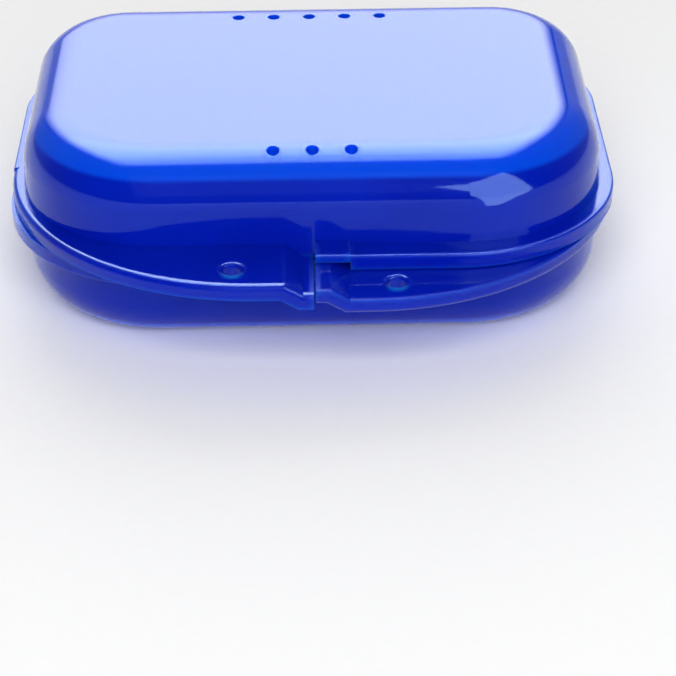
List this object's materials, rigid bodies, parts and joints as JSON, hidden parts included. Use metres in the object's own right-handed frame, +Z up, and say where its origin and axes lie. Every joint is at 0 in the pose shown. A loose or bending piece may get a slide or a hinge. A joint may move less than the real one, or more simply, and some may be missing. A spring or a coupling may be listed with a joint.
{
  "type": "orthodontic retainer case",
  "caption": "Hinged clamshell case of translucent blue plastic for a dental retainer, with vented rounded domes, a flange and a front latch of interlocking tabs.",
  "frame": {"origin": "on the resting plane, under the middle of the closed case's overall box", "axes": "+X to the right seen from the front, +Y from the latch at the front to the hinge at the back, +Z up"},
  "size_m": [0.081, 0.0716, 0.0266],
  "materials": {
    "shell": "glossy translucent moulded polypropylene, blue",
    "pin": "smooth solid plastic rod, blue"
  },
  "bodies": {
    "base": {"base": "shell", "base_hinge_pin": "pin"},
    "lid": {"lid": "shell", "lid_hinge_pin": "pin"}
  },
  "joints": [
    {"name": "lid_hinge", "type": "hinge", "parent": "base", "child": "lid", "pos_m": [0, 0.03365, 0.0133], "axis": [-1, 0, 0], "range_deg": [0, 180]}
  ]
}
